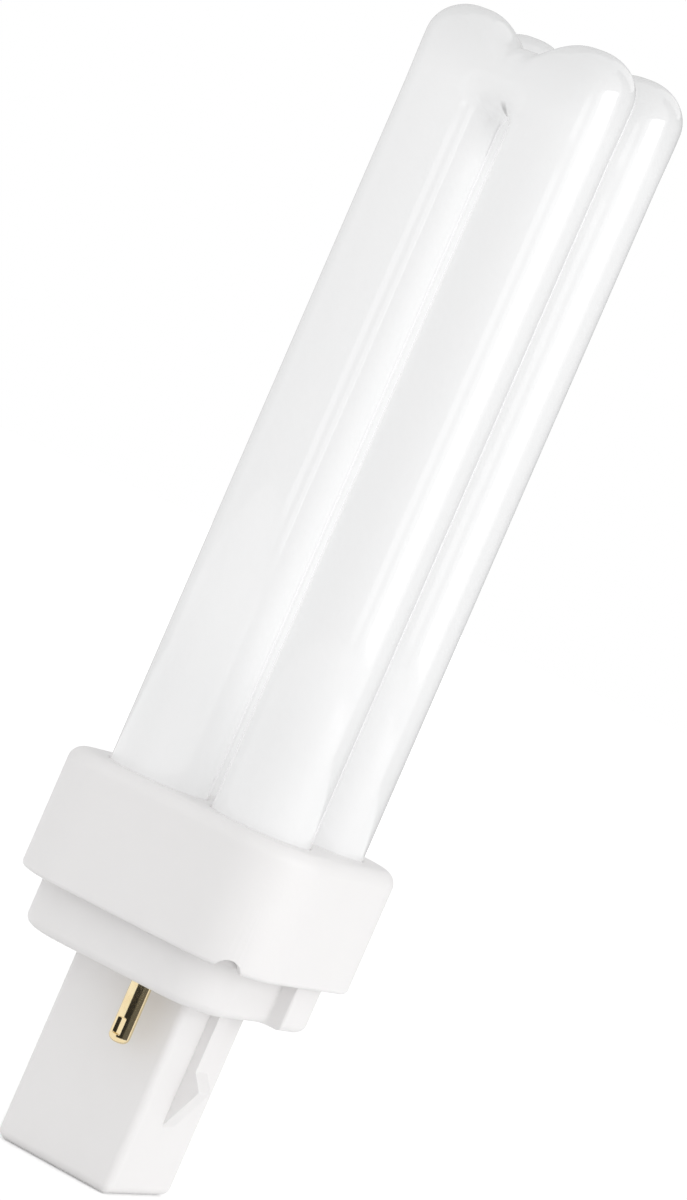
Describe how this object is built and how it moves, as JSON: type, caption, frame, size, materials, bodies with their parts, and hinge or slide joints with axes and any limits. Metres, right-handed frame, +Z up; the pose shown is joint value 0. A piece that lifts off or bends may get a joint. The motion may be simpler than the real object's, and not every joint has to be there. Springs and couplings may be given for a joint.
{
  "type": "plug-in compact fluorescent lamp",
  "caption": "Energy-saving plug-in lamp: domed glass U tubes on a square keyed base, with a barbed post and brass contact pins.",
  "frame": {"origin": "centre of the end face of the square post, on which the lamp stands", "axes": "+Z up the lamp's axis towards the domed tops of the tubes, -Y towards the side of the lower U tube and the front pin, +X towards the snap rib on the front pin's side of the axis"},
  "size_m": [0.034, 0.034, 0.14],
  "materials": {
    "coated_glass": "glossy glass, coated white inside and opaque",
    "white_plastic": "satin moulded",
    "pin_brass": "polished",
    "cement": "matt, poured",
    "starter_glass": "clear glass",
    "capacitor_coating": "dipped lacquer",
    "tinned_wire": "tinned copper",
    "fibre_sleeve": "woven glass fibre",
    "ferrule_brass": "plain drawn tube"
  },
  "bodies": {
    "root": {"glass_discharge_tube": "coated_glass", "collar_shell": "white_plastic", "pin_base": "white_plastic", "contact_pin_front": "pin_brass", "contact_pin_rear": "pin_brass", "fixing_cement": "cement", "starter_bulb": "starter_glass", "starter_capacitor": "capacitor_coating", "pin_lead_front": "tinned_wire", "pin_lead_rear": "tinned_wire", "starter_lead_front": "tinned_wire", "starter_lead_rear": "tinned_wire", "glow_lead_left": "tinned_wire", "glow_lead_right": "tinned_wire", "capacitor_lead_left": "tinned_wire", "capacitor_lead_right": "tinned_wire", "lead_sleeve_front": "fibre_sleeve", "lead_sleeve_rear": "fibre_sleeve", "splice_ferrule_left": "ferrule_brass", "splice_ferrule_right": "ferrule_brass"}
  },
  "joints": []
}
